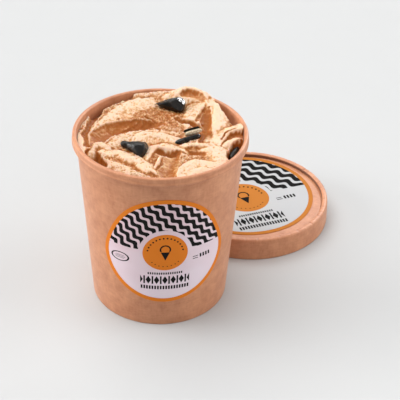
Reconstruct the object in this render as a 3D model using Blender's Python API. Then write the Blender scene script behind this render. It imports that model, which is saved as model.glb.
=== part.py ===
"""Ice cream pint: a kraft paper tub of scooped ice cream with chocolate-coated wafer
pieces on top, and its paper lid lying on the table against the tub.

All sizes below are millimetres, measured from the centre of the tub's foot; MM turns
them into Blender's metres. The finished pieces are then moved so that the origin is on
the table under the middle of tub and lid together. +Z is up, and the front of the tub,
with its label, faces -Y.
"""
import math
from collections import namedtuple

import bmesh
import bpy
import numpy as np
from mathutils import Matrix, Vector, noise

MM = 0.001
ROUND_STEPS = 48
CLEARANCE = 0.3

# Tub wall and rolled rim
TUB_HEIGHT = 102.0
FOOT_RADIUS = 38.0
NECK_RADIUS = 44.8
NECK_HEIGHT = 97.6
PAPER = 0.5
RIM_RADIUS = 47.0
FOOT_FOLD_HEIGHT = 5.0
BASE_TOP = 6.3
FLANGE_LOW = 0.9

# Lid, lying flat behind the tub
LID_CENTRE = (54.4, 71.4)
LID_RADIUS = 49.9
LID_TOP_RADIUS = 49.5
LID_HEIGHT = 14.1
LID_DISC_TOP = 11.7

# Middle of the ground that tub and lid cover together
SET_CENTRE = tuple((along + LID_RADIUS - RIM_RADIUS) / 2 for along in LID_CENTRE)

# Round paper labels
LABEL_PAPER = 0.2
TUB_LABEL_RADIUS = 35.0
TUB_LABEL_HEIGHT = 52.5
TUB_LABEL_TURN = math.radians(4.0)
TUB_LABEL_COLUMNS = 34
LID_LABEL_RADIUS = 43.0

# Scooped top of the ice cream
TOP_CELLS = 54
TOP_LEVEL = 97.8
TOP_TILT = 0.045
WOBBLE = 0.7
WOBBLE_LENGTH = 7.0
STROKE_SAMPLES = 24

Stroke = namedtuple("Stroke", "name start middle end left right depth lip")

# Each stroke runs through three points (x, y, z). Left and right are its half widths to
# either side of its run, and depth is how far its surface has moved at those widths.
# A scoop hollows the top and throws up a lip; a fold of ice cream stands on it.
FOLD, SCOOP = 1, -1
STROKES = (
    (FOLD, Stroke("left shoulder", (-33, -2, 97.8), (-29, 19, 99.4), (-12, 36, 100.8), 6, 15, 3.5, 0)),
    (FOLD, Stroke("smear on the left wall", (-39, 20, 97.2), (-44.5, 2, 99.6), (-42, -14, 98), 4, 2, 3, 0)),
    (SCOOP, Stroke("left moat", (-34, 24, 95.5), (-40, 8, 94), (-38.5, -11, 94.5), 2.4, 2.4, 2.5, 0)),
    (SCOOP, Stroke("back left gap", (-15, 42, 98.5), (-27, 35, 95), (-37, 23, 94), 2.2, 2.2, 2.5, 0)),
    (FOLD, Stroke("back edge", (-14, 41.5, 100.8), (-2, 42.5, 101.4), (9, 41.5, 102.8), 3, 3.5, 2.2, 0)),
    (FOLD, Stroke("tall swirl", (9, 41.5, 103.6), (19, 41.5, 106.6), (29, 34.5, 104), 4, 9, 6, 0)),
    (SCOOP, Stroke("swirl hollow", (12, 37.5, 102), (20, 36.5, 102.2), (27, 31, 101.8), 4.5, 6, 3.6, 0)),
    (FOLD, Stroke("ramp", (26, 33, 102.4), (21, 24, 100.8), (17, 15, 99.2), 2.6, 11, 3, 0)),
    (FOLD, Stroke("right back fold", (27, 35, 103.4), (31.5, 23, 102), (30, 8, 99.6), 6.5, 7, 3.4, 0)),
    (SCOOP, Stroke("right back gap", (33, 31, 98), (39.5, 20, 94), (41.8, 10, 97), 2.4, 2.4, 2.5, 0)),
    (SCOOP, Stroke("right groove", (25, 26, 100.6), (24.2, 11, 95.6), (23.5, -3, 95.2), 3.4, 3.6, 3, 0.4)),
    (SCOOP, Stroke("groove under the ramp", (9, 19, 97.2), (15, 14.5, 95.6), (24, 8.5, 95), 2.4, 2.2, 2.4, 0.4)),
    (FOLD, Stroke("right ridge", (28.5, 12, 99.4), (28.4, 2, 98.8), (26, -11, 98.2), 7, 1.6, 2.2, 0)),
    (FOLD, Stroke("right strap", (30, -9, 98.4), (35.5, 0.5, 100), (43.5, 3, 102.4), 9, 1.3, 2.6, 0)),
    (FOLD, Stroke("shelf below the strap", (33, -8, 97.8), (37, -5, 98.4), (42, -3.5, 98.2), 3, 3, 2.4, 0)),
    (FOLD, Stroke("middle right ridge", (9, -10, 97.8), (18, -8.5, 99.2), (28, -12, 98.6), 5, 1.8, 2.4, 0)),
    (FOLD, Stroke("right front lump", (28, -10, 98.4), (33, -16, 98.2), (31, -27, 97.4), 5, 6, 2.4, 0)),
    (SCOOP, Stroke("pocket under the ridge", (12, -12, 96.2), (17, -14, 94.8), (22, -15, 96.2), 2, 2.4, 2, 0)),
    (FOLD, Stroke("front petal", (9, -38, 97), (14, -24.5, 98.6), (29, -24.5, 98), 1.5, 12, 2.8, 0)),
    (FOLD, Stroke("front petal inner fold", (14, -33, 97.4), (21, -30, 98.2), (29, -31, 97.4), 2, 4, 1.2, 0)),
    (SCOOP, Stroke("front trough", (9, -13, 96.8), (6.3, -22, 95.4), (3.5, -40, 94.8), 4.5, 6, 2.4, 0.3)),
    (SCOOP, Stroke("great scoop", (-32, -5, 95.6), (-27.5, 5, 94.6), (-15, 9.5, 94.6), 5.5, 6.5, 3.4, 0.9)),
    (SCOOP, Stroke("great scoop's tail", (-22, 8.5, 94.6), (-12, 10.5, 94.4), (-1, 12.5, 96.4), 5, 5, 3.2, 0.5)),
    (FOLD, Stroke("scoop's near ridge", (-27, -5, 98), (-14, 3.5, 99.4), (4, 6, 98.4), 2, 9, 2, 0)),
    (FOLD, Stroke("centre flap", (-15, -3.5, 98.8), (-9, 1.5, 100), (1, 0.5, 99), 3.5, 1.6, 1.8, 0)),
    (FOLD, Stroke("centre roll", (-5.5, -19, 97.8), (-0.5, -11.5, 99.4), (9, -12.5, 98.4), 5, 1.5, 2.8, 0)),
    (SCOOP, Stroke("pocket under the roll", (0, -14.8, 95.4), (5, -15.4, 93.8), (9, -14.6, 95.6), 1.6, 1.8, 2, 0)),
    (FOLD, Stroke("flake", (0.2, -19, 98.6), (-1.5, -24, 98.8), (-2.6, -29, 98), 1.3, 1.3, 2, 0)),
    (FOLD, Stroke("front left fold", (-29, -16, 98.4), (-18, -20, 99), (-6, -31, 98), 6, 3, 2, 0)),
    (FOLD, Stroke("front left hem", (-30, -22, 97.6), (-20, -28, 98), (-8, -37, 97.4), 2.5, 4, 1.4, 0)),
    (FOLD, Stroke("front lump", (-14, -34, 98), (-11, -36, 98.6), (-8, -37.5, 98), 2.5, 2.5, 1.6, 0)),
    (SCOOP, Stroke("left pocket", (-37, -14, 93), (-34, -19, 90.5), (-30, -27, 93), 2.4, 2.2, 3, 0)),
    (FOLD, Stroke("left knob", (-36, -14, 97.6), (-33, -6.5, 99.8), (-28, -13, 98.2), 2.4, 1.8, 2.4, 0)),
    (SCOOP, Stroke("right pocket", (43, -7, 95), (40.5, -14, 88), (37.5, -20.5, 94), 2.6, 3, 3, 0)),
)

# Chocolate-coated pieces: tip and wide end (x, y, z), radii at the tip, neck and wide
# end, height over width, and how far the wide end's lower corner is drawn out
Lump = namedtuple("Lump", "tip wide tip_radius neck_radius wide_radius squash tail")
CHOCOLATES = {
    "chocolate_back": Lump((-4.2, 31.2, 101.6), (13.4, 27.6, 102.0), 0.7, 2.7, 5.4, 0.9, 0.5),
    "chocolate_front": Lump((-21.0, -8.4, 99.0), (-7.0, -14.6, 98.8), 2.0, 2.5, 5.4, 0.9, 3.0),
    "chocolate_edge": Lump((40.6, -8.2, 94.6), (37.4, -16.8, 92.4), 1.2, 1.6, 2.2, 1.0, 0.0),
}
LARGE_LUMP = 14
SMALL_LUMP = 10

# Broken wafer: a long coated bar, and above it the pale biscuit with its thin coat
WAFER_BAR = ((7.6, -5.6, 97.8), (21.4, 1.2, 98.6))
WAFER_BAR_RADIUS = 1.7
WAFER_CORE = ((12.8, 0.6, 99.6), (22.2, 5.0, 100.0))
WAFER_CORE_RADIUS = 1.25
WAFER_COAT = ((12.4, 3.4, 100.6), (21.2, 7.4, 100.8))
WAFER_COAT_RADIUS = 0.8

# Colours, roughness
KRAFT = ((0.62, 0.33, 0.19), 0.75)
ICE_CREAM = ((0.83, 0.50, 0.28), 0.55)
CHOCOLATE = ((0.012, 0.008, 0.006), 0.18)
BISCUIT = ((0.62, 0.50, 0.36), 0.7)
LABEL = ((0.78, 0.76, 0.82), 0.5)


def clear_scene():
    """Remove every object that the scene starts with."""
    for item in list(bpy.data.objects):
        bpy.data.objects.remove(item, do_unlink=True)


def material(name, finish):
    """Return a Principled material of one colour and roughness."""
    colour, roughness = finish
    made = bpy.data.materials.new(name)
    made.use_nodes = True
    shader = made.node_tree.nodes["Principled BSDF"]
    shader.inputs["Base Color"].default_value = (*colour, 1.0)
    shader.inputs["Roughness"].default_value = roughness
    shader.inputs["Metallic"].default_value = 0.0
    return made


def finish_object(name, shape, finish, smooth=True):
    """Turn a millimetre bmesh into a named object in metres, about the set's middle."""
    bmesh.ops.translate(shape, vec=(-SET_CENTRE[0], -SET_CENTRE[1], 0.0), verts=shape.verts)
    bmesh.ops.scale(shape, vec=(MM, MM, MM), verts=shape.verts)
    bmesh.ops.recalc_face_normals(shape, faces=shape.faces)
    mesh = bpy.data.meshes.new(name)
    shape.to_mesh(mesh)
    shape.free()
    if smooth:
        mesh.shade_smooth()
        mesh.set_sharp_from_angle(angle=math.radians(40))
    made = bpy.data.objects.new(name, mesh)
    bpy.context.scene.collection.objects.link(made)
    made.data.materials.append(finish)
    return made


def turned(profile, centre=(0.0, 0.0)):
    """Turn a closed outline of (radius, height) points into a round solid."""
    shape = bmesh.new()
    points = [shape.verts.new((radius, 0.0, height)) for radius, height in profile]
    edges = [shape.edges.new((a, b)) for a, b in zip(points, points[1:] + points[:1])
             if a.co.x > 0 or b.co.x > 0]
    bmesh.ops.spin(shape, geom=points + edges, cent=(0, 0, 0), axis=(0, 0, 1),
                   angle=math.tau, steps=ROUND_STEPS, use_merge=True)
    bmesh.ops.remove_doubles(shape, verts=shape.verts, dist=0.001)
    bmesh.ops.translate(shape, vec=(*centre, 0.0), verts=shape.verts)
    return shape


def wall_radius(height):
    """Return the outer radius of the tub's cone at a height."""
    return FOOT_RADIUS + (NECK_RADIUS - FOOT_RADIUS) * height / NECK_HEIGHT


def tub_wall(finish):
    """Make the paper cone with its rolled rim and its foot folded in and up."""
    flange_gap = 1.6
    curl = RIM_RADIUS - PAPER
    under_rim = TUB_HEIGHT - 0.8
    profile = [
        (FOOT_RADIUS - 0.6, 0.0), (FOOT_RADIUS, 0.7),
        (wall_radius(NECK_HEIGHT), NECK_HEIGHT), (wall_radius(under_rim), under_rim),
        (curl - 0.4, under_rim), (curl, 100.3), (curl, 98.8), (curl - 0.6, 98.1),
        (curl - 1.0, 98.1), (curl - 1.0, 97.6), (curl - 0.2, 97.6), (RIM_RADIUS, 98.5),
        (RIM_RADIUS, 100.7), (RIM_RADIUS - 0.6, 101.7), (RIM_RADIUS - 1.7, TUB_HEIGHT),
        (wall_radius(TUB_HEIGHT) - PAPER, 101.6), (wall_radius(98.0) - PAPER, 98.0),
        (wall_radius(PAPER) - PAPER, PAPER), (wall_radius(PAPER) - flange_gap, PAPER),
        (wall_radius(FOOT_FOLD_HEIGHT) - flange_gap, FOOT_FOLD_HEIGHT),
        (wall_radius(FOOT_FOLD_HEIGHT) - flange_gap - PAPER, FOOT_FOLD_HEIGHT),
        (wall_radius(PAPER) - flange_gap - PAPER, 0.3),
        (wall_radius(0.0) - flange_gap - 0.1, 0.0),
    ]
    return finish_object("tub_wall", turned(profile), finish)


def tub_base(finish):
    """Make the base disc with its flange turned down into the folded foot."""
    outer, inner = 0.85, 1.25
    low, high = FLANGE_LOW, BASE_TOP
    profile = [
        (0.0, high), (wall_radius(high) - outer - 0.3, high),
        (wall_radius(high) - outer, high - 0.3), (wall_radius(low) - outer, low),
        (wall_radius(low) - inner, low), (wall_radius(high) - inner, high - PAPER),
        (0.0, high - PAPER),
    ]
    return finish_object("tub_base", turned(profile), finish)


def lid_band(finish):
    """Make the lid's band: curled in at its open edge, folded in and down at the top."""
    outer, top = LID_RADIUS, LID_HEIGHT
    fold = LID_TOP_RADIUS - 2.2
    profile = [
        (outer, 1.0), (outer - 0.6, 0.0), (outer - 1.7, 0.0), (outer - 2.4, 0.8),
        (outer - 2.4, 2.4), (outer - 1.8, 3.1), (outer - 1.5, 2.7), (outer - 1.9, 2.1),
        (outer - 1.9, 1.0), (outer - 1.5, 0.5), (outer - 0.8, 0.5), (outer - 0.55, 1.2),
        (LID_TOP_RADIUS - 0.6, top - 0.6), (fold + 0.5, top - 0.6),
        (fold + 0.5, LID_DISC_TOP + CLEARANCE), (fold, LID_DISC_TOP + CLEARANCE),
        (fold, top - 0.6), (fold + 0.6, top), (LID_TOP_RADIUS - 0.5, top),
        (LID_TOP_RADIUS, top - 0.7),
    ]
    return finish_object("lid_band", turned(profile, LID_CENTRE), finish)


def lid_disc(finish):
    """Make the lid's recessed disc with its flange turned up inside the band."""
    flange = LID_TOP_RADIUS - 0.95
    low = LID_DISC_TOP - PAPER
    profile = [
        (0.0, low), (flange, low), (flange, LID_HEIGHT - 0.9), (flange - 0.4, LID_HEIGHT - 0.9),
        (flange - 0.4, LID_DISC_TOP), (0.0, LID_DISC_TOP),
    ]
    return finish_object("lid_disc", turned(profile, LID_CENTRE), finish)


def lid_label(finish):
    """Make the round label on the lid's disc."""
    shape = bmesh.new()
    low = LID_DISC_TOP + CLEARANCE
    bmesh.ops.create_cone(shape, cap_ends=True, cap_tris=False, segments=ROUND_STEPS,
                          radius1=LID_LABEL_RADIUS, radius2=LID_LABEL_RADIUS, depth=LABEL_PAPER)
    bmesh.ops.translate(shape, vec=(*LID_CENTRE, low + LABEL_PAPER / 2), verts=shape.verts)
    return finish_object("label_lid", shape, finish)


def tub_label(finish):
    """Make the round label that is wrapped on the front of the cone."""
    shape = bmesh.new()
    middle_radius = wall_radius(TUB_LABEL_HEIGHT)
    rows = []
    for column in range(TUB_LABEL_COLUMNS + 1):
        across = -math.cos(math.pi * column / TUB_LABEL_COLUMNS) * TUB_LABEL_RADIUS
        half = math.sqrt(max(TUB_LABEL_RADIUS ** 2 - across ** 2, 0.25))
        turn = TUB_LABEL_TURN + across / middle_radius
        for rise in (-half, half):
            height = TUB_LABEL_HEIGHT + rise
            for lift in (CLEARANCE, CLEARANCE + LABEL_PAPER):
                radius = wall_radius(height) + lift
                rows.append(shape.verts.new((radius * math.sin(turn), -radius * math.cos(turn), height)))
    for column in range(TUB_LABEL_COLUMNS):
        low_in, low_out, high_in, high_out = rows[4 * column:4 * column + 4]
        low_in2, low_out2, high_in2, high_out2 = rows[4 * column + 4:4 * column + 8]
        shape.faces.new((low_out, low_out2, high_out2, high_out))
        shape.faces.new((low_in, high_in, high_in2, low_in2))
        shape.faces.new((low_in, low_in2, low_out2, low_out))
        shape.faces.new((high_in, high_out, high_out2, high_in2))
    shape.faces.new(rows[0:2] + [rows[3], rows[2]])
    shape.faces.new([rows[-4], rows[-2], rows[-1], rows[-3]])
    return finish_object("label_tub", shape, finish)


def stroke_path(stroke):
    """Return points along the smooth curve through a stroke's three points."""
    start, middle, end = (np.array(point, float) for point in (stroke.start, stroke.middle, stroke.end))
    pull = 2.0 * middle - 0.5 * (start + end)
    along = np.linspace(0.0, 1.0, STROKE_SAMPLES + 1)[:, None]
    return (1 - along) ** 2 * start + 2 * along * (1 - along) * pull + along ** 2 * end


def stroke_surface(stroke, kind, x, y):
    """Return the height of a stroke's own surface at each point."""
    path = stroke_path(stroke)
    nearest = np.full(x.shape, np.inf)
    surface = np.zeros(x.shape)
    for here, there in zip(path[:-1], path[1:]):
        run = there - here
        length = np.hypot(run[0], run[1])
        share = ((x - here[0]) * run[0] + (y - here[1]) * run[1]) / length ** 2
        share = np.clip(share, 0.0, 1.0)
        gap_x = x - here[0] - share * run[0]
        gap_y = y - here[1] - share * run[1]
        distance = np.hypot(gap_x, gap_y)
        on_left = run[0] * gap_y - run[1] * gap_x > 0
        width = np.where(on_left, stroke.left, stroke.right)
        height = here[2] + share * run[2] - kind * stroke.depth * (distance / width) ** 2
        closer = distance < nearest
        nearest = np.where(closer, distance, nearest)
        surface = np.where(closer, height, surface)
    return surface


def scooped_height(x, y):
    """Return the height of the ice cream at each point of its top."""
    wobble_x = np.array([noise.noise(Vector((a, b, 0.0)) / WOBBLE_LENGTH) for a, b in zip(x, y)])
    wobble_y = np.array([noise.noise(Vector((a, b, 50.0)) / WOBBLE_LENGTH) for a, b in zip(x, y)])
    bent_x = x + 2 * WOBBLE * wobble_x
    bent_y = y + 2 * WOBBLE * wobble_y
    height = TOP_LEVEL + TOP_TILT * y + WOBBLE * wobble_x
    for kind, stroke in STROKES:
        surface = stroke_surface(stroke, kind, bent_x, bent_y)
        inside = kind * (surface - height)
        lip = stroke.lip * np.exp(np.minimum(inside, 0.0) / max(stroke.lip, 0.1))
        height = np.where(inside > 0, surface, height + lip)
    return height


def ice_cream_shape(cells):
    """Make the ice cream: the scooped top, the cone inside the paper and a flat bottom."""
    shape = bmesh.new()
    bmesh.ops.create_grid(shape, x_segments=cells, y_segments=cells, size=1.0)
    inside = wall_radius(TUB_HEIGHT) - PAPER - CLEARANCE
    square = np.array([vert.co[:2] for vert in shape.verts])
    x = inside * square[:, 0] * np.sqrt(1.0 - square[:, 1] ** 2 / 2.0)
    y = inside * square[:, 1] * np.sqrt(1.0 - square[:, 0] ** 2 / 2.0)
    height = scooped_height(x, y)
    reach = (x ** 2 + y ** 2) / inside ** 2
    taper = (wall_radius(TUB_HEIGHT) - wall_radius(height)) / inside
    for vert, a, b, c, far, narrow in zip(shape.verts, x, y, height, reach, taper):
        shrink = 1.0 - far * max(narrow, 0.0)
        vert.co = (a * shrink, b * shrink, c)
    rim = [edge for edge in shape.edges if edge.is_boundary]
    drawn = bmesh.ops.extrude_edge_only(shape, edges=rim)["geom"]
    low = [item for item in drawn if isinstance(item, bmesh.types.BMVert)]
    bottom = BASE_TOP + CLEARANCE
    foot = wall_radius(bottom) - PAPER - CLEARANCE
    for vert in low:
        direction = Vector((vert.co.x, vert.co.y)).normalized() * foot
        vert.co = (direction.x, direction.y, bottom)
    bmesh.ops.holes_fill(shape, edges=[edge for edge in shape.edges if edge.is_boundary], sides=0)
    return shape


def lump_shape(lump, grow=0.0):
    """Make a coated piece: from its tip over a narrow neck to a blunt wide end."""
    shape = bmesh.new()
    sides = LARGE_LUMP if lump.wide_radius > 3.0 else SMALL_LUMP
    bmesh.ops.create_uvsphere(shape, u_segments=sides, v_segments=sides - 3, radius=1.0)
    tip, wide = Vector(lump.tip), Vector(lump.wide)
    axis = wide - tip
    length = axis.length
    for vert in shape.verts:
        share = 0.5 + 0.5 * vert.co.z
        fullness = math.sqrt(max(1.0 - abs(vert.co.z) ** 5, 0.0))
        flare = max(share - 0.3, 0.0) / 0.7
        start = lump.tip_radius + (lump.neck_radius - lump.tip_radius) * min(share / 0.3, 1.0)
        radius = start + (lump.wide_radius - lump.neck_radius) * flare ** 0.8
        facing = math.atan2(vert.co.y, vert.co.x)
        flat = 1.0 + 0.07 * math.cos(3 * facing + 1.0)
        reach = (radius * flat + grow) * fullness
        across = math.cos(facing) * reach
        upright = math.sin(facing) * reach * lump.squash
        vert.co = (across, upright, share * (length + 2 * grow) - grow)
    turn = axis.to_track_quat("Z", "Y").to_matrix().to_4x4()
    bmesh.ops.transform(shape, matrix=Matrix.Translation(tip) @ turn, verts=shape.verts)
    for vert in shape.verts:
        share = (vert.co - tip).dot(axis) / length ** 2
        beside = (vert.co - tip - axis * share) / lump.wide_radius
        forward = max(-0.8 * beside.y - 0.6 * beside.z, 0.0)
        drawn = lump.tail * max(share, 0.0) ** 3 * forward ** 2
        vert.co += Vector((0.15, -0.75, -0.6)) * drawn
    return shape


def bar_shape(ends, radius, grow=0.0):
    """Make a short round-ended bar of the broken wafer."""
    start, end = (Vector(point) for point in ends)
    return lump_shape(Lump(start, end, radius, radius, radius, 0.85, 0.0), grow)


def carve(solid, cutter_shape):
    """Cut a dent into a solid, a hair larger than the piece that lies in it."""
    cutter = finish_object("dent", cutter_shape, solid.data.materials[0])
    cutter.hide_render = True
    cutter.display_type = "WIRE"
    cut = solid.modifiers.new("dent", "BOOLEAN")
    cut.operation = "DIFFERENCE"
    cut.solver = "EXACT"
    cut.object = cutter


def build():
    """Build every piece of the pint."""
    clear_scene()
    kraft = material("kraft_paper", KRAFT)
    cream = material("ice_cream", ICE_CREAM)
    chocolate = material("chocolate", CHOCOLATE)
    biscuit = material("wafer_biscuit", BISCUIT)
    label = material("label_paper", LABEL)
    tub_wall(kraft)
    tub_base(kraft)
    lid_band(kraft)
    lid_disc(kraft)
    tub_label(label)
    lid_label(label)
    ice_cream = finish_object("ice_cream", ice_cream_shape(TOP_CELLS), cream)
    for name, lump in CHOCOLATES.items():
        finish_object(name, lump_shape(lump), chocolate)
        carve(ice_cream, lump_shape(lump, CLEARANCE))
    bars = (
        ("wafer_bar", WAFER_BAR, WAFER_BAR_RADIUS, chocolate),
        ("wafer_core", WAFER_CORE, WAFER_CORE_RADIUS, biscuit),
        ("wafer_coat", WAFER_COAT, WAFER_COAT_RADIUS, chocolate),
    )
    for name, ends, radius, finish in bars:
        finish_object(name, bar_shape(ends, radius), finish)
        carve(ice_cream, bar_shape(ends, radius, CLEARANCE))


build()
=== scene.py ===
"""Looks of an open pint of ice cream: kraft paper tub and lid, printed round labels, the
scooped ice cream with its coated wafer pieces, and a plain studio.

Shapes are worked out in millimetres, from the middle of the tub's foot or of the lid, and
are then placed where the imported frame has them.
"""
import logging
import math
from dataclasses import dataclass, field
from enum import Enum
from functools import partial, partialmethod
from typing import Sequence

import bmesh
import bpy
import numpy as np
from mathutils import Matrix, Vector, noise


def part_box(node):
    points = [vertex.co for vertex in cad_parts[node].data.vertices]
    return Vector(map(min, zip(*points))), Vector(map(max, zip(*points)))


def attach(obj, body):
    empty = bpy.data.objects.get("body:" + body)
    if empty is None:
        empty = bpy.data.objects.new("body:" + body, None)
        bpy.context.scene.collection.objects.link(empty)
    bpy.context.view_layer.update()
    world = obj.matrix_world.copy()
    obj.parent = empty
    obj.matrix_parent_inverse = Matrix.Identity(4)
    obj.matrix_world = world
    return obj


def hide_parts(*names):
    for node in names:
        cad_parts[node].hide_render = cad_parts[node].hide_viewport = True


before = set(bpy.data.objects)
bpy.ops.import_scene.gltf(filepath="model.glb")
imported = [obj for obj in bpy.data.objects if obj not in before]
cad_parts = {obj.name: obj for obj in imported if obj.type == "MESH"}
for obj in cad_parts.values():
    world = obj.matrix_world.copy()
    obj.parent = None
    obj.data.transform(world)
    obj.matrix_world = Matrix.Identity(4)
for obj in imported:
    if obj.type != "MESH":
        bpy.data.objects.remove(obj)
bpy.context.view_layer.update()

LOG = logging.getLogger("pint")
MM = 0.001
BODY = "root"

Colour = tuple[float, float, float]
Point = tuple[float, float, float]
Shape = bmesh.types.BMesh
Piece = bpy.types.Object
Socket = bpy.types.NodeSocket


class Slot(Enum):
    """The material slots."""

    KRAFT = "kraft_paper"
    LABEL = "label_paper"
    CREAM = "ice_cream"
    CHOCOLATE = "chocolate"
    BISCUIT = "wafer_biscuit"


@dataclass(frozen=True)
class Spot:
    """A place on the table, in metres, that a sub-assembly is built around."""

    x: float
    y: float

    @classmethod
    def under(cls, node: str) -> "Spot":
        """Return the spot under the middle of a round node of the frame."""
        low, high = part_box(node)
        return cls((low.x + high.x) / 2, (low.y + high.y) / 2)

    def settle(self, shape: Shape) -> None:
        """Turn a shape's millimetres from this spot into metres of the frame."""
        bmesh.ops.scale(shape, vec=(MM, MM, MM), verts=shape.verts)
        bmesh.ops.translate(shape, vec=(self.x, self.y, 0.0), verts=shape.verts)


def add_piece(name: str, shape: Shape, spot: Spot, finish: bpy.types.Material,
              stands_for: Sequence[str] = (), sharp: float = 40.0, turn_out: bool = True) -> Piece:
    """Make a finished piece of a millimetre shape.

    Args:
        name: The piece's name.
        shape: The shape, which is used up.
        spot: The place that the shape's millimetres start from.
        finish: Its material.
        stands_for: The frame's nodes that it replaces.
        sharp: Edges that turn by more degrees than this stay sharp.
        turn_out: Whether its faces are turned outwards again.

    Returns:
        The piece, riding on the one body.
    """
    spot.settle(shape)
    if turn_out:
        bmesh.ops.recalc_face_normals(shape, faces=shape.faces)
    mesh = bpy.data.meshes.new(name)
    shape.to_mesh(mesh)
    shape.free()
    mesh.shade_smooth()
    mesh.set_sharp_from_angle(angle=math.radians(sharp))
    mesh.materials.append(finish)
    piece = bpy.data.objects.new(name, mesh)
    bpy.context.scene.collection.objects.link(piece)
    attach(piece, BODY)
    if stands_for:
        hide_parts(*stands_for)
    return piece


class Value:
    """A number in a material, which plain operators carry on into further nodes."""

    def __init__(self, wiring: "Wiring", socket: Socket) -> None:
        """Hold the socket that gives the number, and the material that it is in."""
        self.wiring = wiring
        self.socket = socket

    def then(self, operation: str, other: object = 0.0) -> "Value":
        """Return the result of a Math node on this number and another."""
        made = self.wiring.node("Math", {0: self, 1: other}, operation=operation)
        return Value(self.wiring, made.outputs[0])

    # Of marks, * keeps what both cover and | joins them. A comparison gives 1 or 0.
    __add__ = partialmethod(then, "ADD")
    __sub__ = partialmethod(then, "SUBTRACT")
    __mul__ = partialmethod(then, "MULTIPLY")
    __truediv__ = partialmethod(then, "DIVIDE")
    __or__ = partialmethod(then, "MAXIMUM")
    __lt__ = partialmethod(then, "LESS_THAN")
    __gt__ = partialmethod(then, "GREATER_THAN")
    __abs__ = partialmethod(then, "ABSOLUTE")

    def distance(self, upward: "Value") -> "Value":
        """Return how far a point is whose place across and upward the two numbers are."""
        return (self * self + upward * upward).then("SQRT")

    def folded(self, period: float, start: float = 0.0) -> "Value":
        """Return the distance from the middle of a repeat, for a pattern with a period."""
        ahead = 40.0 * period
        turns = (self + (ahead - start)) / period
        return abs(turns.then("FRACT") - 0.5) * period

    def spread(self, low: float, high: float, least: float = 0.0, most: float = 1.0) -> "Value":
        """Return the range from low to high, spread from least to most."""
        made = self.wiring.node("MapRange", {"Value": self, "From Min": low, "From Max": high,
                                             "To Min": least, "To Max": most})
        return Value(self.wiring, made.outputs["Result"])


class Wiring:
    """A material being wired: short forms for the shader nodes that the finishes use."""

    def __init__(self, name: str, roughness: float, specular: float) -> None:
        """Start a Principled material of an even roughness and specular level."""
        self.material = bpy.data.materials.new(name)
        self.material.use_nodes = True
        self.tree = self.material.node_tree
        self.shader = self.tree.nodes["Principled BSDF"]
        self.dress({"Roughness": roughness, "Specular IOR Level": specular})

    def feed(self, socket: Socket, value: object) -> None:
        """Link a socket to another, or set it to a number, a vector or a colour."""
        if isinstance(value, Value):
            value = value.socket
        if isinstance(value, bpy.types.NodeSocket):
            self.tree.links.new(value, socket)
        elif isinstance(value, tuple) and socket.type == "RGBA":
            socket.default_value = (*value, 1.0)
        else:
            socket.default_value = value

    def dress(self, inputs: dict[str, object]) -> None:
        """Feed the surface's own inputs."""
        for name, value in inputs.items():
            self.feed(self.shader.inputs[name], value)

    def node(self, kind: str, inputs: dict[str | int, object], **settings: object) -> bpy.types.Node:
        """Return a new node.

        Args:
            kind: Its type, without the words that every shader node's type starts with.
            inputs: What each of its inputs is fed.
            settings: Its settings, by name.
        """
        made = self.tree.nodes.new("ShaderNode" + kind)
        for name, value in settings.items():
            setattr(made, name, value)
        for name, value in inputs.items():
            self.feed(made.inputs[name], value)
        return made

    def vector(self, operation: str, first: Socket, second: Point) -> Socket:
        """Return the result of a Vector Math node."""
        return self.node("VectorMath", {0: first, 1: second}, operation=operation).outputs[0]

    def parts(self, place: Socket) -> tuple[Value, Value]:
        """Return a place's x and y."""
        outputs = self.node("SeparateXYZ", {0: place}).outputs
        return Value(self, outputs[0]), Value(self, outputs[1])

    def place(self) -> Socket:
        """Return the Object coordinates, in metres."""
        return self.node("TexCoord", {}).outputs["Object"]

    def attribute(self, name: str) -> Value:
        """Return a number that the mesh holds at each corner."""
        return Value(self, self.node("Attribute", {}, attribute_name=name).outputs["Fac"])

    def noise(self, place: Socket, scale: float, detail: float = 2.0, rough: float = 0.5) -> Value:
        """Return noise from 0 to 1 with so many waves a metre."""
        inputs = {"Vector": place, "Scale": scale, "Detail": detail, "Roughness": rough}
        return Value(self, self.node("TexNoise", inputs).outputs["Fac"])

    def cells(self, place: Socket, scale: float) -> Value:
        """Return the distance to the nearest of scattered cell centres."""
        return Value(self, self.node("TexVoronoi", {"Vector": place, "Scale": scale}).outputs["Distance"])

    def blend(self, share: Value, first: Colour | Socket, second: Colour | Socket) -> Socket:
        """Return a colour between two."""
        return self.node("Mix", {0: share, 6: first, 7: second}, data_type="RGBA").outputs[2]

    def relief(self, height: Value, depth: float) -> None:
        """Add fine relief, whose full height is so many metres."""
        made = self.node("Bump", {"Strength": 1.0, "Distance": depth, "Height": height})
        self.dress({"Normal": made.outputs["Normal"]})


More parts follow.
